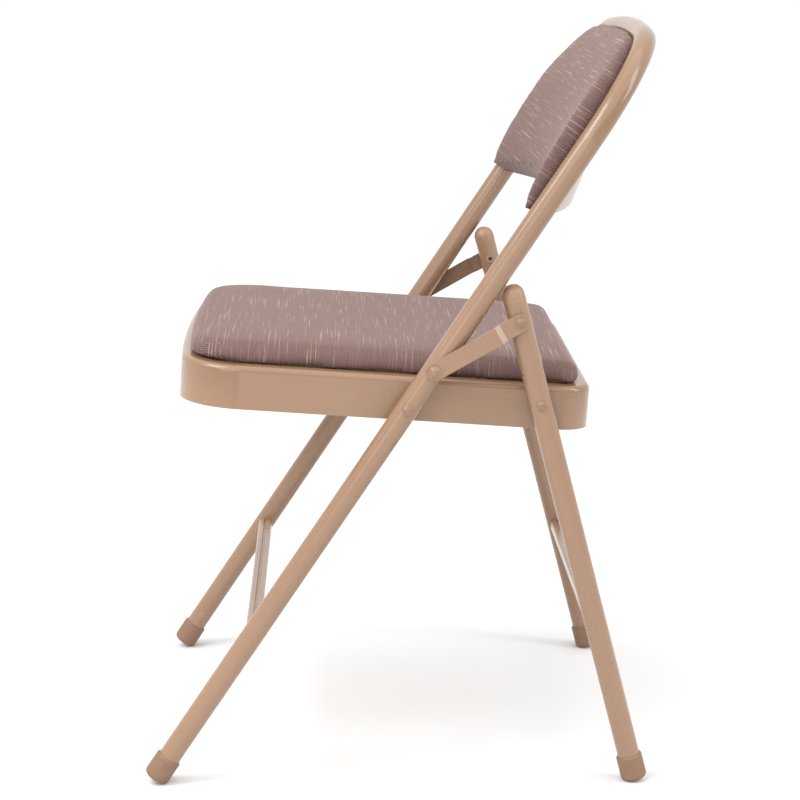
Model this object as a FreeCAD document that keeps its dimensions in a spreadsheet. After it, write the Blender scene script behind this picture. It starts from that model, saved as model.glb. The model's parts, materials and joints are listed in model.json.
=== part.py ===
# Steel folding chair with an upholstered seat and back.
# X runs across the chair (+X is the sitter's left), +Y is the rear, +Z is up.
# The floor is z = 0 and the lengths are in millimetres.
# The front legs and the backrest hoop are one bent tube.  The seat pan hangs
# between the tubes on rivets, and a strap on each side links both legs.
import FreeCAD
import Part
import math
import os

V = FreeCAD.Vector
doc = FreeCAD.newDocument("folding_chair")

# ---------------------------------------------------------------- dimensions
SIZES = [
    ("tube_radius", 11.1),
    ("tube_wall", 1.2),
    ("front_gauge", 229.0),
    ("rear_gauge", 224.0),
    ("front_foot_y", -247.0),
    ("rear_foot_y", 238.1),
    ("front_lean", 56.53),
    ("rear_lean", 104.9),
    ("hoop_reach", 886.8),
    ("hoop_corner", 112.0),
    ("hoop_crown", 1500.0),
    ("rear_leg_reach", 503.8),
    ("seat_pivot_height", 381.2),
    ("rear_pivot_height", 385.2),
    ("link_front_height", 420.4),
    ("link_rear_height", 467.8),
    ("brace_height", 153.2),
    ("brace_width", 15.0),
    ("brace_depth", 9.0),
    ("brace_gauge", 1.2),
    ("brace_groove", 1.6),
    ("foot_radius", 13.0),
    ("foot_length", 26.0),
    ("foot_round", 4.5),
    ("foot_sole", 4.0),
    ("foot_bite", 0.7),
    ("shank_radius", 3.0),
    ("hole_radius", 3.05),
    ("pan_half_width", 210.0),
    ("pan_front", 230.0),
    ("pan_rear", 181.0),
    ("pan_bow", 8.0),
    ("pan_front_corner", 62.0),
    ("pan_rear_corner", 34.0),
    ("pan_height", 43.0),
    ("pan_wall", 1.2),
    ("pan_shoulder", 6.0),
    ("pan_base_height", 366.4),
    ("pan_tilt", 3.6),
    ("pan_lip", 44.0),
    ("plate_gauge", 2.0),
    ("plate_length", 172.0),
    ("plate_height", 30.0),
    ("plate_ahead", 30.0),
    ("washer_radius", 8.0),
    ("screw_head_radius", 3.6),
    ("screw_radius", 1.6),
    ("board_inset", 24.0),
    ("board_thickness", 4.5),
    ("cushion_inset", 13.0),
    ("cushion_front_inset", 7.0),
    ("cushion_rear_inset", 11.0),
    ("cushion_top", 64.5),
    ("cushion_round", 12.0),
    ("back_bottom", 679.8),
    ("back_arch", 27.0),
    ("back_sag", 52.0),
    ("panel_gauge", 1.6),
    ("pad_inset", 5.0),
    ("link_width", 17.5),
    ("link_gauge", 2.6),
]
sheet = doc.addObject("Spreadsheet::Sheet", "Sizes")
for row, (alias, value) in enumerate(SIZES, start=1):
    sheet.set("A%d" % row, alias)
    sheet.set("B%d" % row, str(value))
    sheet.setAlias("B%d" % row, alias)
doc.recompute()


def size(alias):
    return float(sheet.get(alias))


tube_radius = size("tube_radius")
tube_wall = size("tube_wall")
front_lean = math.radians(size("front_lean"))
rear_lean = math.radians(size("rear_lean"))
SIDES = (("left", 1.0), ("right", -1.0))

# Clearances: a fitted bore over its tube, two faces that meet, and faces that pass each other.
FIT = 0.05
TOUCH = 0.02
RUNNING = 0.3


# ------------------------------------------------------------------- helpers
def cell(alias):
    return "Sizes." + alias


def bind(obj, **links):
    for prop, expression in links.items():
        obj.setExpression(prop.replace("__", "."), expression)
    return obj


def cylinder(name, radius, height, base, direction):
    """Solid cylinder from base along direction; radius and height are expressions."""
    obj = doc.addObject("Part::Cylinder", name)
    bind(obj, Radius=radius, Height=height)
    obj.Placement = FreeCAD.Placement(base, FreeCAD.Rotation(V(0, 0, 1), direction))
    return obj


def join(kind, name, shapes):
    obj = doc.addObject("Part::" + kind, name)
    obj.Shapes = shapes
    return obj


def cut(name, base, tools):
    """base minus every tool, as the named object."""
    tool = tools[0] if len(tools) == 1 else join("MultiFuse", name + "_tools", tools)
    obj = doc.addObject("Part::Cut", name)
    obj.Base = base
    obj.Tool = tool
    return obj


def new_body(name):
    return doc.addObject("PartDesign::Body", name)


def new_sketch(body, name, plane):
    """Sketch on one of the body's own origin planes, such as XY_Plane."""
    sketch = body.newObject("Sketcher::SketchObject", name)
    for item in body.Origin.OriginFeatures:
        if item.Role == plane:
            sketch.AttachmentSupport = [(item, "")]
    sketch.MapMode = "FlatFace"
    return sketch


def polyline(sketch, points, closed=True):
    ends = points[1:] + points[:1] if closed else points[1:]
    for a, b in zip(points, ends):
        sketch.addGeometry(Part.LineSegment(V(a[0], a[1], 0), V(b[0], b[1], 0)), False)


def arc(sketch, start, through, end):
    points = [V(p[0], p[1], 0) for p in (start, through, end)]
    sketch.addGeometry(Part.Arc(*points), False)


def pad(body, name, sketch, length, midplane=False):
    feature = body.newObject("PartDesign::Pad", name)
    feature.Profile = sketch
    feature.Midplane = midplane
    bind(feature, Length=length)
    body.Tip = feature
    return feature


def revolve(body, name, sketch, axis):
    feature = body.newObject("PartDesign::Revolution", name)
    feature.Profile = sketch
    feature.ReferenceAxis = (sketch, [axis])
    feature.Angle = 360.0
    body.Tip = feature
    return feature


def on_leg(lean, foot_y, height):
    """Point at a given height on a leg's centreline, in the chair's mid plane."""
    return V(0, foot_y + height / math.tan(lean), height)


def across(x, point):
    return V(x, point.y, point.z)


front_foot = V(0, size("front_foot_y"), 0)
rear_foot = V(0, size("rear_foot_y"), 0)
front_up = V(0, math.cos(front_lean), math.sin(front_lean))
rear_up = V(0, math.cos(rear_lean), math.sin(rear_lean))
seat_pivot = on_leg(front_lean, front_foot.y, size("seat_pivot_height"))
link_front = on_leg(front_lean, front_foot.y, size("link_front_height"))
rear_pivot = on_leg(rear_lean, rear_foot.y, size("rear_pivot_height"))
link_rear = on_leg(rear_lean, rear_foot.y, size("link_rear_height"))
front_gauge = size("front_gauge")
rear_gauge = size("rear_gauge")


def cross_hole(name, point, reach=600.0):
    """Round hole straight across the chair at a pivot."""
    obj = doc.addObject("Part::Cylinder", name)
    bind(obj, Radius=cell("hole_radius"))
    obj.Height = reach
    sideways = FreeCAD.Rotation(V(0, 0, 1), V(1, 0, 0))
    obj.Placement = FreeCAD.Placement(V(-reach / 2, point.y, point.z), sideways)
    return obj


# ------------------------------------------------- front legs and hoop, one tube
hoop_reach = size("hoop_reach")
hoop_corner = size("hoop_corner")
hoop_crown = size("hoop_crown")
FRONT_PLANE = FreeCAD.Placement(front_foot, FreeCAD.Rotation(V(1, 0, 0), size("front_lean")))


def hoop_points(inset):
    """Key points of the hoop's outline drawn inboard of the tube's centreline.

    Coordinates are across the chair and up along the front leg."""
    corner = hoop_corner - inset
    crown = hoop_crown - inset
    offset = front_gauge - hoop_corner
    swing = math.asin(offset / (hoop_crown - hoop_corner))
    centre_y = hoop_reach - hoop_crown + (hoop_crown - hoop_corner) * math.cos(swing)
    half = (math.pi / 2 - swing) / 2
    side = (front_gauge - inset, centre_y)
    middle = (offset + corner * math.cos(half), centre_y + corner * math.sin(half))
    joint = (offset + corner * math.sin(swing), centre_y + corner * math.cos(swing))
    top = (0.0, hoop_reach - hoop_crown + crown)
    return side, middle, joint, top


def flip(point):
    return (-point[0], point[1])


def draw_hoop(sketch, inset, low):
    """Open hoop outline from the right side, over the top and down the left side."""
    side, middle, joint, top = hoop_points(inset)
    polyline(sketch, [(side[0], low), side], closed=False)
    arc(sketch, side, middle, joint)
    arc(sketch, joint, top, flip(joint))
    arc(sketch, flip(joint), flip(middle), flip(side))
    polyline(sketch, [flip(side), (-side[0], low)], closed=False)


def hoop_pipe(name, start, radii):
    """Round bar (one radius) or tube (two radii) along the whole hoop, from start up each leg."""
    body = new_body(name + "_body")
    path = new_sketch(body, name + "_path", "XY_Plane")
    draw_hoop(path, 0.0, start)
    ring = new_sketch(body, name + "_section", "XZ_Plane")
    ring.AttachmentOffset = FreeCAD.Placement(V(0, 0, -start), FreeCAD.Rotation())
    for radius in radii:
        ring.addGeometry(Part.Circle(V(front_gauge, 0, 0), V(0, 0, 1), radius), False)
    doc.recompute()
    pipe = body.newObject("PartDesign::AdditivePipe", name + "_pipe")
    pipe.Profile = ring
    pipe.Spine = (path, ["Edge%d" % (i + 1) for i in range(5)])
    pipe.Mode = "Frenet"
    body.Tip = pipe
    return body


def foot_start(lean):
    """Distance up the leg from the floor to its cap's end, whose rounded rim bites the floor a little."""
    rounding = size("foot_round")
    drop = (size("foot_radius") - rounding) * abs(math.cos(lean))
    return (rounding - size("foot_bite") + drop) / math.sin(lean) - rounding


tube_start = foot_start(front_lean) + size("foot_sole")
tube_body = hoop_pipe("front_tube", tube_start, (tube_radius, tube_radius - tube_wall))
tube_body.Placement = FRONT_PLANE
bind(tube_body, Placement__Base__y=cell("front_foot_y"))
cut("front_frame_tube", tube_body, [
    cross_hole("front_tube_seat_hole", seat_pivot),
    cross_hole("front_tube_link_hole", link_front),
])

# ------------------------------------------------------------------ rear legs
rear_start = foot_start(rear_lean) + size("foot_sole")
tube_length = "Sizes.rear_leg_reach - %g" % rear_start
PLUG_COLLAR = 6.0
PLUG_STEM = 12.0
for side, sign in SIDES:
    base = across(sign * rear_gauge, rear_foot) + rear_up * rear_start
    outer = cylinder("rear_leg_outer_" + side, cell("tube_radius"), tube_length, base, rear_up)
    inner = cylinder("rear_leg_bore_" + side, "Sizes.tube_radius - Sizes.tube_wall", tube_length,
                     base, rear_up)
    cut("rear_leg_" + side, outer, [
        inner,
        cross_hole("rear_leg_seat_hole_" + side, rear_pivot),
        cross_hole("rear_leg_link_hole_" + side, link_rear),
    ])
    # Domed plug in the open top of the leg.
    seam = across(sign * rear_gauge, rear_foot) + rear_up * size("rear_leg_reach")
    collar = cylinder("cap_collar_" + side, cell("tube_radius"), "%g" % PLUG_COLLAR, seam, rear_up)
    stem = cylinder("cap_stem_" + side, "Sizes.tube_radius - Sizes.tube_wall - %g" % FIT,
                    "%g" % (PLUG_STEM + 4.0), seam - rear_up * PLUG_STEM, rear_up)
    dome = doc.addObject("Part::Sphere", "cap_dome_" + side)
    bind(dome, Radius=cell("tube_radius"))
    dome.Angle1 = 0.0
    dome.Placement = FreeCAD.Placement(seam + rear_up * PLUG_COLLAR, FreeCAD.Rotation(V(0, 0, 1), rear_up))
    join("MultiFuse", "rear_leg_cap_" + side, [collar, stem, dome])


# ----------------------------------------------------------------------- feet
def foot(name, x, origin, up, start, floor):
    """Moulded cap on a leg end, round at the bottom and trimmed flat on the floor."""
    radius = size("foot_radius")
    rounding = size("foot_round")
    bore = tube_radius + FIT
    top = start + size("foot_length")
    sole = start + size("foot_sole")
    slope = rounding * (1 - math.sqrt(0.5))
    body = new_body(name + "_cap")
    profile = new_sketch(body, name + "_profile", "XZ_Plane")
    polyline(profile, [
        (radius, start + rounding), (radius, top - 1.5), (radius - 1.2, top), (bore, top),
        (bore, sole), (0, sole), (0, start), (radius - rounding, start),
    ], closed=False)
    arc(profile, (radius - rounding, start), (radius - slope, start + slope), (radius, start + rounding))
    revolve(body, name + "_turned", profile, "V_Axis")
    body.Placement = FreeCAD.Placement(across(x, origin), FreeCAD.Rotation(V(0, 0, 1), up))
    bind(body, Placement__Base__y=cell(floor))
    ground = doc.addObject("Part::Box", name + "_ground")
    bind(ground, Length="Sizes.foot_radius * 4", Width="Sizes.foot_radius * 4", Height=cell("foot_radius"))
    ground.Placement.Base = V(x - 2 * radius, origin.y - 2 * radius, -radius)
    return cut(name, body, [ground])


front_start = foot_start(front_lean)
rear_cap_start = foot_start(rear_lean)
for side, sign in SIDES:
    foot("front_foot_" + side, sign * front_gauge, front_foot, front_up, front_start, "front_foot_y")
    foot("rear_foot_" + side, sign * rear_gauge, rear_foot, rear_up, rear_cap_start, "rear_foot_y")


# --------------------------------------------------------------------- braces
def brace(name, lean, foot_point, gauge, up):
    """Channel open downwards between two legs, with a groove pressed along its top."""
    half = size("brace_width") / 2
    top = size("brace_depth") / 2
    metal = size("brace_gauge")
    groove = size("brace_groove")
    bevel = 1.5
    under = top - metal - bevel
    centre = on_leg(lean, foot_point.y, size("brace_height"))
    body = new_body(name + "_body")
    profile = new_sketch(body, name + "_profile", "YZ_Plane")
    right_half = [
        (groove / 2, top - 1.4), (groove, top), (half - bevel, top), (half, top - bevel), (half, -top),
        (half - metal, -top), (half - metal, under + 0.7), (half - metal - 0.8, under),
    ]
    polyline(profile, right_half + [flip(p) for p in reversed(right_half)])
    pad(body, name + "_bar", profile, "%g" % (2 * gauge), midplane=True)
    body.Placement.Base = centre
    bind(body, Placement__Base__z=cell("brace_height"))
    tools = []
    for side, sign in SIDES:
        base = across(sign * gauge, centre) - up * 60.0
        tools.append(cylinder(name + "_notch_" + side, "Sizes.tube_radius + %g" % FIT, "120", base, up))
        block = doc.addObject("Part::Box", name + "_trim_" + side)
        block.Length = 30.0
        block.Width = 60.0
        block.Height = 60.0
        block.Placement.Base = V(sign * (gauge + 15.0) - 15.0, centre.y - 30.0, centre.z - 30.0)
        tools.append(block)
    return cut(name, body, tools)


brace("front_brace", front_lean, front_foot, front_gauge, front_up)
brace("rear_brace", rear_lean, rear_foot, rear_gauge, rear_up)

# ------------------------------------------------------------------ seat parts
SEAT_PLANE = FreeCAD.Placement(V(0, seat_pivot.y, size("pan_base_height")),
                               FreeCAD.Rotation(V(1, 0, 0), -size("pan_tilt")))


def upright_edges(shape, y):
    """Names of the slab's upright edges at a distance behind the seat pivot."""
    names = []
    for i, edge in enumerate(shape.Edges, start=1):
        a, b = edge.Vertexes[0].Point, edge.Vertexes[-1].Point
        if abs(a.x - b.x) + abs(a.y - b.y) < 0.01 and abs(a.y - y) < 0.01:
            names.append("Edge%d" % i)
    return names


def rim_edges(shape, z):
    """Names of the slab's edges that lie in its top face."""
    return ["Edge%d" % i for i, edge in enumerate(shape.Edges, start=1)
            if all(abs(vertex.Point.z - z) < 0.01 for vertex in edge.Vertexes)]


def seat_slab(name, inset, low, high, shoulder=0.0, front_inset=None, rear_inset=None):
    """Slab with the seat's outline drawn in by inset, between two heights over the pan's base."""
    half = size("pan_half_width") - inset
    front = -size("pan_front") + (inset if front_inset is None else front_inset)
    rear = size("pan_rear") - (inset if rear_inset is None else rear_inset)
    front_corner = front + size("pan_bow")
    body = new_body(name)
    outline = new_sketch(body, name + "_outline", "XY_Plane")
    outline.AttachmentOffset = FreeCAD.Placement(V(0, 0, low), FreeCAD.Rotation())
    corners = [(half, front_corner), (half, rear), (-half, rear), (-half, front_corner)]
    polyline(outline, corners, closed=False)
    arc(outline, (-half, front_corner), (0, front), (half, front_corner))
    solid = pad(body, name + "_block", outline, "%g" % (high - low))
    doc.recompute()
    for end, y in (("front", front_corner), ("rear", rear)):
        blend = body.newObject("PartDesign::Fillet", "%s_%s_corners" % (name, end))
        blend.Base = (solid, upright_edges(solid.Shape, y))
        bind(blend, Radius="max(Sizes.pan_%s_corner - %g; 8)" % (end, inset))
        doc.recompute()
        solid = blend
    if shoulder:
        roll = body.newObject("PartDesign::Fillet", name + "_shoulder")
        roll.Base = (solid, rim_edges(solid.Shape, high))
        roll.Radius = shoulder
        doc.recompute()
        solid = roll
    body.Tip = solid
    body.Placement = SEAT_PLANE
    bind(body, Placement__Base__z=cell("pan_base_height"))
    return body


pan_wall = size("pan_wall")
pan_height = size("pan_height")
seat_up = V(0, math.sin(math.radians(size("pan_tilt"))), math.cos(math.radians(size("pan_tilt"))))
seat_back = V(0, seat_up.z, -seat_up.y)


def seat_point(x, y, z):
    """Chair coordinates of a point given across, behind the seat pivot and over the pan's base."""
    return V(x, seat_pivot.y, size("pan_base_height")) + seat_back * y + seat_up * z


pan_outer = seat_slab("pan_outer", 0.0, 0.0, pan_height, size("pan_shoulder"))
pan_hollow = seat_slab("pan_hollow", pan_wall, pan_wall, pan_height - pan_wall,
                       size("pan_shoulder") - pan_wall)
pan_mouth = seat_slab("pan_mouth", 7.0, -1.0, pan_wall + 1.0)
pan_window = seat_slab("pan_window", size("pan_lip"), pan_height - pan_wall - 1.0, pan_height + 1.0)
SCREWS = [(x, y) for y in (-150.0, 0.0, 140.0) for x in (-177.0, 177.0)]


def screw_holes(stem, radius, low, length):
    """Clearance or pilot holes up through one sheet, one for each screw."""
    return [cylinder("%s_hole_%d" % (stem, i), radius, length, seat_point(x, y, low), seat_up)
            for i, (x, y) in enumerate(SCREWS, start=1)]


cut("seat_pan", pan_outer, [
    pan_hollow,
    pan_mouth,
    pan_window,
    cross_hole("pan_seat_hole", seat_pivot),
    cross_hole("pan_rear_hole", rear_pivot),
] + screw_holes("lip", "Sizes.screw_radius + 0.6", pan_height - 6.0, "10"))

board_low = pan_height
board_high = pan_height + size("board_thickness")
board_blank = seat_slab("board_blank", size("board_inset"), board_low, board_high)
cut("seat_board", board_blank, screw_holes("board", "Sizes.screw_radius + %g" % FIT, board_low - 1.0, "6"))

# Foam and cover as one solid, hollowed underneath to sit over the board.
AROUND_BOARD = 0.4
foam_blank = seat_slab("foam_blank", size("cushion_inset"), pan_height + AROUND_BOARD, size("cushion_top"),
                       size("cushion_round"), size("cushion_front_inset"), size("cushion_rear_inset"))
foam_recess = seat_slab("foam_recess", size("board_inset") - AROUND_BOARD, pan_height - 1.0,
                        board_high + AROUND_BOARD)
cut("seat_cushion", foam_blank, [foam_recess])

screws = []
for i, (x, y) in enumerate(SCREWS, start=1):
    under = seat_point(x, y, pan_height - pan_wall)
    head = cylinder("screw_head_%d" % i, cell("screw_head_radius"), "2", under - seat_up * 2.0, seat_up)
    shaft = cylinder("screw_shaft_%d" % i, cell("screw_radius"), "5", under - seat_up * 0.5, seat_up)
    screws.append(join("MultiFuse", "screw_%d" % i, [head, shaft]))
seat_screws = doc.addObject("Part::Compound", "seat_screws")
seat_screws.Links = screws

# Stiffening plate inside each side wall of the pan, carrying both rivets.
plate_gauge = size("plate_gauge")
plate_face = size("pan_half_width") - pan_wall - TOUCH - plate_gauge
for side, sign in SIDES:
    plate = doc.addObject("Part::Box", "plate_blank_" + side)
    bind(plate, Length=cell("plate_gauge"), Width=cell("plate_length"), Height=cell("plate_height"))
    low_x = plate_face if sign > 0 else -plate_face - plate_gauge
    plate.Placement = FreeCAD.Placement(seat_point(low_x, -size("plate_ahead"), 4.0), SEAT_PLANE.Rotation)
    cut("pan_side_plate_" + side, plate, [
        cross_hole("plate_seat_hole_" + side, seat_pivot),
        cross_hole("plate_rear_hole_" + side, rear_pivot),
    ])


# --------------------------------------------------------------------- rivets
RIM = 0.7


def rivet(name, sign, point, height, tail_face, head_face, head, tail=(4.4, 1.4), ledge=0.0):
    """Rivet lying across the chair between two faces, each given as a distance out from the mid plane.

    The head and the tail are (radius, height); a tail of no height leaves a plain shank.  A ledge
    leaves a flat ring round the foot of the head's dome."""
    shank = size("shank_radius")
    head_radius, head_height = head
    tail_radius, tail_height = tail
    tail_end = tail_face - tail_height
    top = head_face + head_height
    points = [(top, 0), (tail_end, 0)]
    if tail_height > 0:
        points += [(tail_end, tail_radius - 0.6), (tail_end + 0.6, tail_radius), (tail_face, tail_radius)]
    points += [(tail_face, shank), (head_face, shank), (head_face, head_radius)]
    points += [(head_face + RIM, head_radius)]
    dome_radius = head_radius - ledge
    if ledge:
        points += [(head_face + RIM, dome_radius)]
    rise = head_height - RIM
    ball = (dome_radius ** 2 + rise ** 2) / (2 * rise)
    half = math.asin(dome_radius / ball) / 2
    crown = (top - ball + ball * math.cos(half), ball * math.sin(half))
    dome = [(head_face + RIM, dome_radius), crown, (top, 0)]
    body = new_body(name)
    profile = new_sketch(body, name + "_profile", "XY_Plane")
    polyline(profile, [(sign * p[0], p[1]) for p in points], closed=False)
    arc(profile, *[(sign * p[0], p[1]) for p in dome])
    revolve(body, name + "_turned", profile, "H_Axis")
    body.Placement.Base = V(0, point.y, point.z)
    bind(body, Placement__Base__z=cell(height))
    return body


def spacer(name, sign, point, inner, outer):
    """Plastic washer between the pan and a leg."""
    start = V(sign * inner, point.y, point.z)
    disc = cylinder(name + "_disc", cell("washer_radius"), "%g" % (outer - inner), start, V(sign, 0, 0))
    return cut(name, disc, [cross_hole(name + "_hole", point)])


pan_half = size("pan_half_width")
front_skin = front_gauge + tube_radius
rear_skin = rear_gauge + tube_radius
link_gauge = size("link_gauge")
link_face = front_skin + 0.4
tab_face = rear_skin + 0.4
for side, sign in SIDES:
    rivet("seat_pivot_rivet_" + side, sign, seat_pivot, "seat_pivot_height",
          plate_face - RUNNING, front_skin + TOUCH, (5.6, 2.6))
    rivet("rear_pivot_rivet_" + side, sign, rear_pivot, "rear_pivot_height",
          plate_face - RUNNING, rear_skin + TOUCH, (5.1, 2.4))
    rivet("link_front_rivet_" + side, sign, link_front, "link_front_height",
          front_gauge - tube_radius - TOUCH, link_face + link_gauge + RUNNING, (6.6, 2.6), ledge=1.3)
    rivet("link_rear_rivet_" + side, sign, link_rear, "link_rear_height",
          tab_face, tab_face + link_gauge + TOUCH, (6.2, 2.4), tail=(4.4, 0.0), ledge=1.5)
    # Formed tail and shank of the same rivet, fixed in the rear leg.
    outward = V(sign, 0, 0)
    tail_base = across(sign * (rear_gauge - tube_radius - 1.4), link_rear)
    tail = cylinder("tail_disc_" + side, "4.8", "1.38", tail_base, outward)
    stub = cylinder("tail_shank_" + side, cell("shank_radius"), "2 * Sizes.tube_radius + 1",
                    tail_base, outward)
    eye = cylinder("tail_eye_" + side, "2.2", "6", tail_base - outward, outward)
    cut("link_rivet_tail_" + side, join("MultiFuse", "tail_solid_" + side, [tail, stub]), [eye])
    spacer("seat_pivot_spacer_" + side, sign, seat_pivot, pan_half + TOUCH,
           front_gauge - tube_radius - RUNNING)
    spacer("rear_pivot_spacer_" + side, sign, rear_pivot, pan_half + TOUCH,
           rear_gauge - tube_radius - RUNNING)

# ---------------------------------------------------------------------- links
span = link_rear - link_front
reach = span.Length
along = span / reach
step_start = reach - 25.0
step_end = reach - 19.5
drop = link_face - tab_face
slant = 0.6
end = size("link_width")
STRAP_EDGE = [
    (-end, 0), (step_start, 0), (step_end, -drop), (reach + end, -drop),
    (reach + end, link_gauge - drop), (step_end + slant, link_gauge - drop),
    (step_start + slant, link_gauge), (-end, link_gauge),
]
for side, sign in SIDES:
    strap = new_body("strap_" + side)
    profile = new_sketch(strap, "strap_profile_" + side, "XZ_Plane")
    polyline(profile, STRAP_EDGE)
    pad(strap, "strap_bar_" + side, profile, "Sizes.link_width * 1.5", midplane=True)
    middle = doc.addObject("Part::Box", "strap_middle_" + side)
    bind(middle, Width=cell("link_width"))
    middle.Length = reach
    middle.Height = 30.0
    middle.Placement.Base = V(0, -size("link_width") / 2, -15)
    outline = [middle]
    holes = []
    for stem, x in (("front", 0.0), ("rear", reach)):
        low = V(x, 0, -15)
        up = V(0, 0, 1)
        outline.append(cylinder("strap_%s_end_%s" % (stem, side), "Sizes.link_width / 2", "30", low, up))
        holes.append(cylinder("strap_%s_hole_%s" % (stem, side), cell("hole_radius"), "30", low, up))
    rounded = join("MultiFuse", "strap_outline_" + side, outline)
    blank = join("MultiCommon", "strap_blank_" + side, [strap, rounded])
    link = cut("link_" + side, blank, holes)
    outward = V(sign, 0, 0)
    turn = FreeCAD.Rotation(along, outward.cross(along), outward, "XZY")
    link.Placement = FreeCAD.Placement(across(sign * link_face, link_front), turn)

# ------------------------------------------------------------------- backrest
back_bottom = size("back_bottom")
back_top = hoop_reach - tube_radius
back_sag = size("back_sag")
edge_x = front_gauge - tube_radius - 0.1


def sag_at(height):
    """How far the panel bows rearward at its middle, at a distance up the hoop."""
    share = (back_top - height) / (back_top - back_bottom)
    return max(back_sag * share, 1.0)


def outline_prism(name, inset, raise_corner, low, depth):
    """Prism inside the hoop with an arched bottom edge, standing off the hoop's plane."""
    body = new_body(name)
    sketch = new_sketch(body, name + "_outline", "XY_Plane")
    sketch.AttachmentOffset = FreeCAD.Placement(V(0, 0, low), FreeCAD.Rotation())
    bottom = back_bottom + raise_corner
    corner = (front_gauge - inset, bottom)
    draw_hoop(sketch, inset, bottom)
    arc(sketch, flip(corner), (0, bottom + size("back_arch")), corner)
    pad(body, name + "_prism", sketch, depth)
    return body


def strip(sketch, front, rear, half):
    """Closed strip across the chair between two arcs, each (height at the edges, height at the middle)."""
    arc(sketch, (-half, front[0]), (0, front[1]), (half, front[0]))
    polyline(sketch, [(half, front[0]), (half, rear[0])], closed=False)
    arc(sketch, (half, rear[0]), (0, rear[1]), (-half, rear[0]))
    polyline(sketch, [(-half, rear[0]), (-half, front[0])], closed=False)


def loft(name, sections, half, ruled):
    """Loft through strips; sections is a list of (distance up the hoop, front arc, rear arc)."""
    body = new_body(name)
    sketches = []
    for i, (height, front, rear) in enumerate(sections, start=1):
        sketch = new_sketch(body, "%s_section_%d" % (name, i), "XZ_Plane")
        sketch.AttachmentOffset = FreeCAD.Placement(V(0, 0, -height), FreeCAD.Rotation())
        strip(sketch, front, rear, half)
        sketches.append(sketch)
    doc.recompute()
    feature = body.newObject("PartDesign::AdditiveLoft", name + "_loft")
    feature.Profile = sketches[0]
    feature.Sections = sketches[1:]
    feature.Ruled = ruled
    body.Tip = feature
    return body


def bowed_sheet(name, front, rear):
    """Sheet that follows the panel's bow, between two heights over its mid surface."""
    sections = []
    for height in (back_bottom - 20.0, back_top + 8.0):
        sag = sag_at(height)
        sections.append((height, (front, front - sag), (rear, rear - sag)))
    return loft(name, sections, edge_x + 1.0, True)


gauge = size("panel_gauge")
panel_sheet = bowed_sheet("panel_sheet", gauge / 2, -gauge / 2)
panel_outline = outline_prism("panel_outline", tube_radius + 0.1, 3.0, -80.0, "120")
back_panel = join("MultiCommon", "back_panel", [panel_sheet, panel_outline])

# The padding's face, as (distance up the hoop, height at the edges, height at the middle) over the
# hoop's plane.  The back is cut away to lie on the bowed panel and against the front of the tube.
PAD_FACE = [
    (back_bottom - 10.0, 14.0, 28.0 - back_sag),
    (back_bottom + 28.0, 24.0, -3.0),
    (back_bottom + 85.0, 27.0, 10.0),
    (back_bottom + 140.0, 26.0, 19.0),
    (back_top - 22.0, 21.0, 20.0),
    (back_top - 3.0, 18.0, 17.5),
    (back_top + 12.0, 13.5, 14.0),
]
PAD_CLEAR = 0.4
pad_block = loft("pad_block", [(height, (edge, middle), (1.0, -2.0 - sag_at(height)))
                               for height, edge, middle in PAD_FACE], front_gauge, False)
pad_outline = outline_prism("pad_outline", size("pad_inset"), 0.0, -80.0, "140")
pad_blank = join("MultiCommon", "pad_blank", [pad_block, pad_outline])
panel_room = bowed_sheet("pad_panel_room", gauge / 2 + PAD_CLEAR, -12.0)
tube_room = hoop_pipe("pad_tube_room", back_bottom - 60.0, (tube_radius + PAD_CLEAR,))
back_pad = cut("back_pad", pad_blank, [panel_room, tube_room])
for obj in (back_panel, back_pad):
    obj.Placement = FRONT_PLANE
    bind(obj, Placement__Base__y=cell("front_foot_y"))

doc.recompute()

NODES = [
    "front_frame_tube", "front_brace", "rear_brace", "back_panel", "back_pad",
    "seat_pan", "seat_board", "seat_cushion", "seat_screws",
]
PAIRED = [
    "front_foot", "rear_foot", "rear_leg", "rear_leg_cap", "pan_side_plate", "seat_pivot_rivet",
    "rear_pivot_rivet", "link_front_rivet", "link_rear_rivet", "link_rivet_tail", "seat_pivot_spacer",
    "rear_pivot_spacer", "link",
]
NODES += [stem + "_" + side for stem in PAIRED for side, _ in SIDES]

for obj in doc.Objects:
    if "Invalid" in obj.State or "Error" in obj.State:
        raise RuntimeError("object in error: " + obj.Name)

os.makedirs("parts", exist_ok=True)
for node in NODES:
    obj = doc.getObject(node)
    shape = obj.Shape
    if shape.isNull() or not shape.isValid() or not shape.Solids:
        raise RuntimeError("bad shape: " + node)
    print(node, len(shape.Solids), round(shape.Volume, 1), shape.BoundBox)
    shape.exportStep("parts/%s.step" % node)
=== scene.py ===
import json
import math

import bpy
from mathutils import Matrix, Vector


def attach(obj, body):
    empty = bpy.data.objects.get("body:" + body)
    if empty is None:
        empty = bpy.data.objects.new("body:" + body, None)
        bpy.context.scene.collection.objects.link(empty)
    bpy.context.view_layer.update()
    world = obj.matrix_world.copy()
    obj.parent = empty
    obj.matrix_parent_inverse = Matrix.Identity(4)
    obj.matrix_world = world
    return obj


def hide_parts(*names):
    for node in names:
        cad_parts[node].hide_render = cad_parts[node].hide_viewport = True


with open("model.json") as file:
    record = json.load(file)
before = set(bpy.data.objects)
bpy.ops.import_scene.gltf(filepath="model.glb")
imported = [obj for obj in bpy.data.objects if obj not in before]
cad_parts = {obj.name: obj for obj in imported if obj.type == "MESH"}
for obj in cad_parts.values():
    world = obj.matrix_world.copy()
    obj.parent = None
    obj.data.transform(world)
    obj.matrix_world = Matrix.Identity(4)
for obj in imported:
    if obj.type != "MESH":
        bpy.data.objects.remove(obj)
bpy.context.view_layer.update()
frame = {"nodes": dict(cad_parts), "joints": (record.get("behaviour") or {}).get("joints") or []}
nodes = frame["nodes"]

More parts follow.
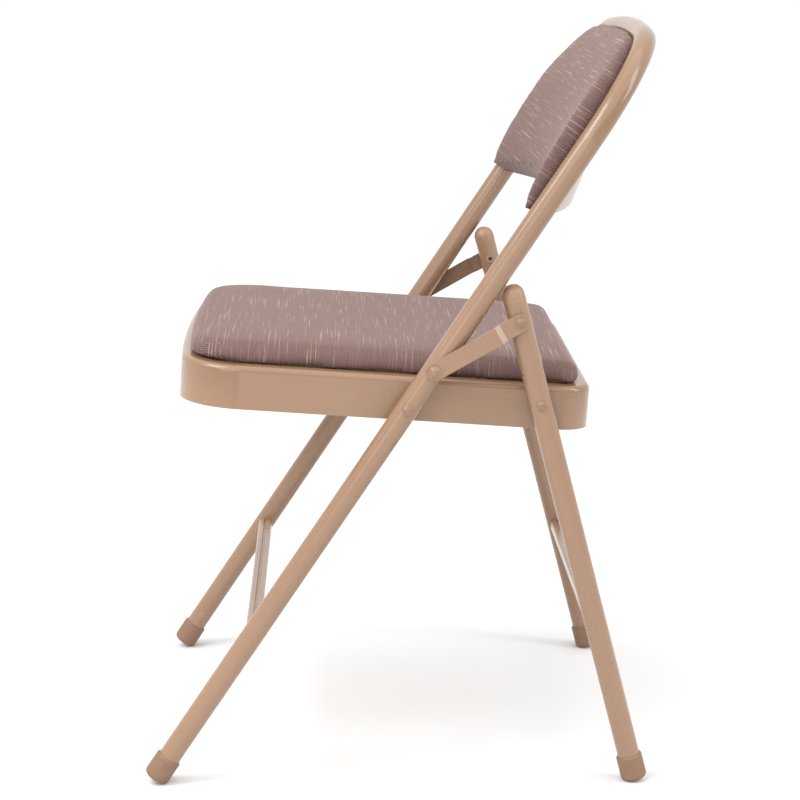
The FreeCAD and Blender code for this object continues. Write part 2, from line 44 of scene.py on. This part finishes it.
# Seat and backrest planes, in metres and in the frame's axes.
SEAT_TILT = math.radians(3.6)
FRONT_LEAN = math.radians(56.53)
HOOP_UP = Vector((0, math.cos(FRONT_LEAN), math.sin(FRONT_LEAN)))
HOOP_OUT = Vector((0, -math.sin(FRONT_LEAN), math.cos(FRONT_LEAN)))
SEAT_UP = Vector((0, math.sin(SEAT_TILT), math.cos(SEAT_TILT)))
SEAT_REAR = Vector((0, math.cos(SEAT_TILT), -math.sin(SEAT_TILT)))
SEAT_BASE_Z = 0.3664
HOOP_LINE_Y = -0.247

# Heights above the seat's base and out from the hoop's plane, and the cushions' swell and mesh size.
PAN_RIM = 0.043
HELD_ABOVE_RIM = 0.006
CUSHION_TOP = 0.0645
PAD_FACE = 0.027
SEAT_SWELL = 0.0025
BACK_SWELL = 0.002
BACK_VOXEL = 0.004
WALL_FACING = 0.6
REAR_FACING = -0.2


# ---------------------------------------------------------------- node helpers
class Shader:
    """Small wrapper that adds and links shader nodes in one material."""

    def __init__(self, name):
        self.material = bpy.data.materials.new(name)
        self.material.use_nodes = True
        self.tree = self.material.node_tree
        self.tree.nodes.clear()
        self.output = self.add("ShaderNodeOutputMaterial")
        self.surface = self.add("ShaderNodeBsdfPrincipled")
        self.link(self.surface.outputs[0], self.output.inputs["Surface"])

    def add(self, kind, **settings):
        node = self.tree.nodes.new(kind)
        for key, value in settings.items():
            setattr(node, key, value)
        return node

    def link(self, source, target):
        self.tree.links.new(source, target)

    def put(self, socket, value):
        """Link an output into a socket, or set the socket to a plain value."""
        if isinstance(value, bpy.types.NodeSocket):
            self.link(value, socket)
        else:
            socket.default_value = value

    def set(self, **values):
        for key, value in values.items():
            self.put(self.surface.inputs[key.replace("_", " ")], value)

    def position(self):
        return self.add("ShaderNodeTexCoord").outputs["Object"]

    def cloth(self):
        return self.add("ShaderNodeTexCoord").outputs["UV"]

    def scaled(self, vector, scale, turn=0.0):
        node = self.add("ShaderNodeMapping")
        self.put(node.inputs["Vector"], vector)
        node.inputs["Scale"].default_value = scale
        node.inputs["Rotation"].default_value = (0, 0, turn)
        return node.outputs[0]

    def noise(self, vector, scale, detail=3.0, rough=0.5):
        node = self.add("ShaderNodeTexNoise")
        self.put(node.inputs["Vector"], vector)
        node.inputs["Scale"].default_value = scale
        node.inputs["Detail"].default_value = detail
        node.inputs["Roughness"].default_value = rough
        return node.outputs["Fac"]

    def wave(self, vector, scale, distortion=0.0, direction="X"):
        node = self.add("ShaderNodeTexWave", bands_direction=direction, wave_profile="SIN")
        self.put(node.inputs["Vector"], vector)
        node.inputs["Scale"].default_value = scale
        node.inputs["Distortion"].default_value = distortion
        return node.outputs["Fac"]

    def math(self, operation, a, b=0.0, c=0.0):
        node = self.add("ShaderNodeMath", operation=operation)
        for socket, value in zip(node.inputs, (a, b, c)):
            self.put(socket, value)
        return node.outputs[0]

    def remap(self, value, low, high, out_low=0.0, out_high=1.0):
        node = self.add("ShaderNodeMapRange", interpolation_type="SMOOTHSTEP")
        self.put(node.inputs["Value"], value)
        limits = {"From Min": low, "From Max": high, "To Min": out_low, "To Max": out_high}
        for name, number in limits.items():
            node.inputs[name].default_value = number
        return node.outputs[0]

    def mix(self, factor, a, b):
        node = self.add("ShaderNodeMix", data_type="RGBA")
        self.put(node.inputs[0], factor)
        for socket, colour in ((node.inputs[6], a), (node.inputs[7], b)):
            self.put(socket, colour if isinstance(colour, bpy.types.NodeSocket) else (*colour, 1.0))
        return node.outputs[2]

    def bump(self, height, strength, distance):
        node = self.add("ShaderNodeBump")
        node.inputs["Strength"].default_value = strength
        node.inputs["Distance"].default_value = distance
        self.put(node.inputs["Height"], height)
        self.put(self.surface.inputs["Normal"], node.outputs[0])


# ------------------------------------------------------------------- materials
def enamel(name, base, pale, wear_and_highlight, gloss=0.26):
    """Baked tan enamel on steel: faint orange peel, tonal drift, dust and edge wear; on the rivets the
    paler edge colour also paints a highlight onto the domed heads.
    """
    s = Shader(name)
    where = s.position()
    drift = s.remap(s.noise(where, 6.0, 4.0), 0.35, 0.68)
    speck = s.remap(s.noise(where, 900.0, 2.0), 0.60, 0.74, 0.0, 0.10)
    body = s.mix(drift, base, pale)
    body = s.mix(speck, body, [c * 0.86 for c in base])
    # Paler colour on sharp convex edges: edge wear on the frame; on the rivet heads it is also painted
    # highlight.
    rubbed_wear_and_highlight = s.remap(s.add("ShaderNodeNewGeometry").outputs["Pointiness"], 0.53, 0.60, 0.0, 0.45)
    s.set(Base_Color=s.mix(rubbed_wear_and_highlight, body, wear_and_highlight))
    s.set(Roughness=s.remap(s.noise(where, 60.0, 4.0), 0.3, 0.75, gloss, gloss + 0.07))
    s.set(Coat_Weight=0.45, Coat_Roughness=0.08, IOR=1.45)
    s.bump(s.noise(where, 420.0, 2.0), 0.10, 0.0005)
    return s.material


def moulded(name, base, pale, rough):
    """Moulded plastic with a fine grain and scuffs."""
    s = Shader(name)
    where = s.position()
    scuff = s.remap(s.noise(s.scaled(where, (1, 1, 3)), 90.0, 5.0, 0.7), 0.52, 0.72)
    s.set(Base_Color=s.mix(scuff, base, pale))
    s.set(Roughness=s.remap(s.noise(where, 300.0), 0.3, 0.7, rough, rough + 0.16))
    s.bump(s.noise(where, 1500.0, 2.0), 0.25, 0.0004)
    return s.material


def board_wood(name):
    """Raw pressed board seen from under the seat."""
    s = Shader(name)
    where = s.position()
    chips = s.noise(s.scaled(where, (1.0, 3.0, 1.0)), 230.0, 5.0, 0.7)
    s.set(Base_Color=s.mix(s.remap(chips, 0.35, 0.7), (0.20, 0.12, 0.065), (0.46, 0.31, 0.18)))
    s.set(Roughness=0.82)
    s.bump(chips, 0.3, 0.0008)
    return s.material


def zinc(name):
    """Zinc-plated steel with a cloudy bloom."""
    s = Shader(name)
    where = s.position()
    bloom = s.noise(where, 240.0, 4.0)
    s.set(Base_Color=s.mix(bloom, (0.36, 0.36, 0.35), (0.58, 0.57, 0.53)), Metallic=1.0)
    s.set(Roughness=s.remap(bloom, 0.3, 0.7, 0.28, 0.46))
    s.bump(bloom, 0.1, 0.0003)
    return s.material


def twill(name):
    """Mauve-brown twill with pale slub yarns that run across the chair and down over the sides.

    The UV map holds the flat cloth's coordinates in metres."""
    s = Shader(name)
    cloth = s.cloth()
    warp = s.wave(s.scaled(cloth, (1, 1, 1), math.radians(38)), 150.0, 0.5)
    weft = s.wave(cloth, 240.0, 0.6, "Y")
    yarn = s.noise(s.scaled(cloth, (120, 1100, 1)), 1.0, 3.0, 0.6)
    broad = s.noise(s.scaled(cloth, (14, 38, 1)), 1.0, 3.0)
    weave = s.math("ADD", s.math("MULTIPLY", warp, 0.38), s.math("MULTIPLY", weft, 0.20))
    weave = s.math("ADD", weave, s.math("MULTIPLY", yarn, 0.60))
    tone = s.mix(s.remap(weave, 0.30, 0.95), (0.078, 0.043, 0.040), (0.205, 0.127, 0.116))
    tone = s.mix(s.remap(broad, 0.3, 0.75, 0.0, 0.30), tone, (0.155, 0.095, 0.084))
    streak = s.noise(s.scaled(cloth, (11, 640, 1)), 1.0, 1.5, 0.45)
    fleck = s.noise(s.scaled(cloth, (220, 500, 1)), 1.0, 2.0)
    slub = s.math("MULTIPLY", s.remap(streak, 0.58, 0.72), s.remap(fleck, 0.30, 0.52, 0.45, 1.0))
    s.set(Base_Color=s.mix(s.math("MULTIPLY", slub, 0.55), tone, (0.42, 0.325, 0.265)))
    s.set(Roughness=0.9, Sheen_Weight=0.30, Sheen_Roughness=0.35, Specular_IOR_Level=0.2)
    s.surface.inputs["Sheen Tint"].default_value = (0.80, 0.68, 0.62, 1.0)
    s.bump(s.math("ADD", weave, s.math("MULTIPLY", slub, 0.9)), 0.40, 0.0005)
    return s.material


paint = enamel("tan_enamel", (0.214, 0.120, 0.066), (0.238, 0.137, 0.078), (0.32, 0.20, 0.125))
# Rivets: lighter enamel with a much paler edge colour, a painted highlight on the domed heads on top
# of edge wear.
rivet_paint_with_painted_highlight = enamel("rivet_enamel_painted_highlight", (0.215, 0.122, 0.070), (0.250, 0.145, 0.086), (0.40, 0.27, 0.18),
                     gloss=0.16)
foot_plastic = moulded("foot_plastic", (0.205, 0.118, 0.070), (0.240, 0.142, 0.088), 0.50)
# Caps lighter than the feet: partly their own paler plastic, partly painted highlight where the caps
# catch the light.
cap_plastic_painted_highlight = moulded("cap_plastic_painted_highlight", (0.290, 0.176, 0.106), (0.335, 0.206, 0.126), 0.28)
nylon = moulded("spacer_nylon", (0.030, 0.027, 0.025), (0.060, 0.055, 0.050), 0.40)
fabric = twill("slub_twill")
SLOTS = {
    "front_frame_tube": paint, "front_brace": paint, "rear_brace": paint, "back_panel": paint,
    "seat_pan": paint, "seat_board": board_wood("pressed_board"), "seat_screws": zinc("zinc_screw"),
}
PAIRS = {
    "rear_leg": paint, "link": paint, "pan_side_plate": paint, "seat_pivot_rivet": rivet_paint_with_painted_highlight,
    "rear_pivot_rivet": rivet_paint_with_painted_highlight, "link_front_rivet": rivet_paint_with_painted_highlight, "link_rear_rivet": rivet_paint_with_painted_highlight,
    "link_rivet_tail": rivet_paint_with_painted_highlight, "front_foot": foot_plastic, "rear_foot": foot_plastic,
    "rear_leg_cap": cap_plastic_painted_highlight, "seat_pivot_spacer": nylon, "rear_pivot_spacer": nylon,
}
for stem, material in PAIRS.items():
    for side in ("left", "right"):
        SLOTS["%s_%s" % (stem, side)] = material
for name, material in SLOTS.items():
    mesh = nodes[name].data
    mesh.materials.clear()
    mesh.materials.append(material)


# --------------------------------------------------------------- padded pieces
def copy_of(node, name):
    """New object with a copy of a CAD node's mesh."""
    obj = bpy.data.objects.new(name, nodes[node].data.copy())
    bpy.context.scene.collection.objects.link(obj)
    for key in list(obj.keys()):
        del obj[key]
    obj.data.materials.clear()
    return obj


def apply_modifiers(obj):
    """Bake the object's modifiers into its mesh."""
    graph = bpy.context.evaluated_depsgraph_get()
    mesh = bpy.data.meshes.new_from_object(obj.evaluated_get(graph))
    old = obj.data
    obj.modifiers.clear()
    obj.data = mesh
    bpy.data.meshes.remove(old)


def even_swell(obj, start, pinned, cap, rounds=30):
    """Cap how far each point has moved, then share the travel between neighbours."""
    travel = []
    for v, rest in zip(obj.data.vertices, start):
        step = v.co - rest
        travel.append(step * (cap / max(step.length, cap)))
    edges = [tuple(edge.vertices) for edge in obj.data.edges]
    for _ in range(rounds):
        total = [step.copy() for step in travel]
        count = [1] * len(travel)
        for a, b in edges:
            total[a] += travel[b]
            total[b] += travel[a]
            count[a] += 1
            count[b] += 1
        travel = [step / number for step, number in zip(total, count)]
        for index in pinned:
            travel[index].zero()
    for v, rest, step in zip(obj.data.vertices, start, travel):
        v.co = rest + step


def inflate(obj, held, cap, voxel=0.005, pressure=2.0, frames=20):
    """Voxel remesh, blow up as cloth with the held points pinned, and even out the swell."""
    remesh = obj.modifiers.new("remesh", "REMESH")
    remesh.mode = "VOXEL"
    remesh.voxel_size = voxel
    apply_modifiers(obj)
    start = [v.co.copy() for v in obj.data.vertices]
    pinned = [v.index for v in obj.data.vertices if held(v)]
    group = obj.vertex_groups.new(name="held")
    group.add(pinned, 1.0, "REPLACE")
    cloth = obj.modifiers.new("cloth", "CLOTH")
    cloth.settings.quality = 6
    cloth.settings.use_pressure = True
    cloth.settings.uniform_pressure_force = pressure
    cloth.settings.vertex_group_mass = "held"
    cloth.settings.tension_stiffness = 18.0
    cloth.settings.compression_stiffness = 18.0
    cloth.settings.shear_stiffness = 8.0
    cloth.settings.bending_stiffness = 6.0
    cloth.settings.effector_weights.gravity = 0.0
    cloth.collision_settings.use_self_collision = False
    for number in range(1, frames + 1):
        bpy.context.scene.frame_set(number)
    apply_modifiers(obj)
    bpy.context.scene.frame_set(1)
    even_swell(obj, start, pinned, cap)
    obj.vertex_groups.clear()
    smooth = obj.modifiers.new("smooth", "SMOOTH")
    smooth.factor = 0.5
    smooth.iterations = 10
    subdivide = obj.modifiers.new("subdivide", "SUBSURF")
    subdivide.levels = 1
    subdivide.render_levels = 1
    apply_modifiers(obj)
    for polygon in obj.data.polygons:
        polygon.use_smooth = True


def lay_cloth(obj, origin, along, out, rim):
    """UV map of the flat cloth in metres: across the chair and along, folded down over the walls."""
    layer = obj.data.uv_layers.new(name="cloth")
    for polygon in obj.data.polygons:
        side_wall = abs(polygon.normal.x) > WALL_FACING
        end_wall = abs(polygon.normal.dot(along)) > WALL_FACING
        for corner in polygon.loop_indices:
            p = obj.data.vertices[obj.data.loops[corner].vertex_index].co - origin
            down = max(rim - p.dot(out), 0.0)
            u = p.x + (math.copysign(down, p.x) if side_wall else 0.0)
            v = p.dot(along)
            if end_wall and not side_wall:
                v += math.copysign(down, polygon.normal.dot(along))
            layer.data[corner].uv = (u, v)


def upholster(obj, node, body):
    """Show the cloth-covered object in place of the CAD node."""
    obj.data.materials.append(fabric)
    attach(obj, body)
    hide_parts(node)


seat_pivot = next(Vector(j["pos_m"]) for j in frame["joints"] if j["name"] == "seat_fold")
seat_origin = Vector((0, seat_pivot.y, SEAT_BASE_Z))
cushion = copy_of("seat_cushion", "seat_cushion_fabric")


def on_pan(v):
    """True for the part of the cushion that lies against the pan and the board."""
    return (v.co - seat_origin).dot(SEAT_UP) < PAN_RIM + HELD_ABOVE_RIM


inflate(cushion, on_pan, SEAT_SWELL)
lay_cloth(cushion, seat_origin, SEAT_REAR, SEAT_UP, CUSHION_TOP)
upholster(cushion, "seat_cushion", "seat")

hoop_origin = Vector((0, HOOP_LINE_Y, 0))
backrest = copy_of("back_pad", "back_pad_fabric")


def on_panel(v):
    """True for the pad's rear, which lies on the panel and against the hoop."""
    return v.normal.dot(HOOP_OUT) < REAR_FACING


inflate(backrest, on_panel, BACK_SWELL, BACK_VOXEL)
lay_cloth(backrest, hoop_origin, HOOP_UP, HOOP_OUT, PAD_FACE)
upholster(backrest, "back_pad", "front_frame")

# ---------------------------------------------------------------- floor, light
FLOOR_HALF = 6.0
FLOOR_DROP = 0.0005
floor_mesh = bpy.data.meshes.new("floor")
floor_mesh.from_pydata([(-FLOOR_HALF, -FLOOR_HALF, 0), (FLOOR_HALF, -FLOOR_HALF, 0),
                        (FLOOR_HALF, FLOOR_HALF, 0), (-FLOOR_HALF, FLOOR_HALF, 0)], [], [(0, 1, 2, 3)])
floor = bpy.data.objects.new("floor", floor_mesh)
floor.location.z = -FLOOR_DROP
bpy.context.scene.collection.objects.link(floor)
pale = Shader("pale_floor")
cloudy = pale.noise(pale.position(), 3.0)
pale.set(Base_Color=pale.mix(cloudy, (0.68, 0.68, 0.68), (0.70, 0.70, 0.70)), Roughness=0.9)
floor_mesh.materials.append(pale.material)

world = bpy.data.worlds.new("studio")
bpy.context.scene.world = world
world.use_nodes = True
world.node_tree.nodes["Background"].inputs["Color"].default_value = (1.0, 1.0, 1.0, 1.0)
world.node_tree.nodes["Background"].inputs["Strength"].default_value = 1.0


def softbox(name, place, target, width, height, power):
    """Rectangular studio light aimed at a point."""
    light = bpy.data.lights.new(name, "AREA")
    light.shape = "RECTANGLE"
    light.size = width
    light.size_y = height
    light.energy = power
    obj = bpy.data.objects.new(name, light)
    obj.location = place
    obj.rotation_euler = (Vector(target) - Vector(place)).to_track_quat("-Z", "Y").to_euler()
    bpy.context.scene.collection.objects.link(obj)


def overhead(name, turn, strength, spread):
    """Very broad light from above that reaches the whole floor evenly."""
    light = bpy.data.lights.new(name, "SUN")
    light.energy = strength
    light.angle = math.radians(spread)
    obj = bpy.data.objects.new(name, light)
    obj.rotation_euler = Vector(turn).to_track_quat("Z", "Y").to_euler()
    bpy.context.scene.collection.objects.link(obj)


MIDDLE = (0.0, 0.0, 0.40)
overhead("ceiling", (0.35, -0.08, 1.0), 1.75, 95.0)
softbox("key", (0.9, -1.7, 2.4), MIDDLE, 1.4, 1.4, 42.0)
softbox("rear_strip", (0.7, 2.2, 1.7), MIDDLE, 0.7, 2.0, 22.0)
softbox("side_fill", (2.6, -1.2, 1.5), MIDDLE, 1.6, 1.6, 14.0)

# ---------------------------------------------------------------------- camera
YAW, PITCH, ROLL = 0.0296, 0.1982, 0.00788
CAMERA_AT = Vector((2.4425, -0.0675, 0.8351))
SENSOR = 36.0
LENS = 104.7
ahead = Vector((-math.cos(YAW) * math.cos(PITCH), math.sin(YAW) * math.cos(PITCH), -math.sin(PITCH)))
right = ahead.cross(Vector((0, 0, 1))).normalized()
up = right.cross(ahead)
tilted_right = right * math.cos(ROLL) + up * math.sin(ROLL)
tilted_up = up * math.cos(ROLL) - right * math.sin(ROLL)
camera_data = bpy.data.cameras.new("camera")
camera_data.lens = LENS
camera_data.sensor_width = SENSOR
camera = bpy.data.objects.new("camera", camera_data)
camera.matrix_world = Matrix((
    (tilted_right.x, tilted_up.x, -ahead.x, CAMERA_AT.x),
    (tilted_right.y, tilted_up.y, -ahead.y, CAMERA_AT.y),
    (tilted_right.z, tilted_up.z, -ahead.z, CAMERA_AT.z),
    (0, 0, 0, 1)))
bpy.context.scene.collection.objects.link(camera)
bpy.context.scene.camera = camera
bpy.context.scene.view_settings.view_transform = "Standard"
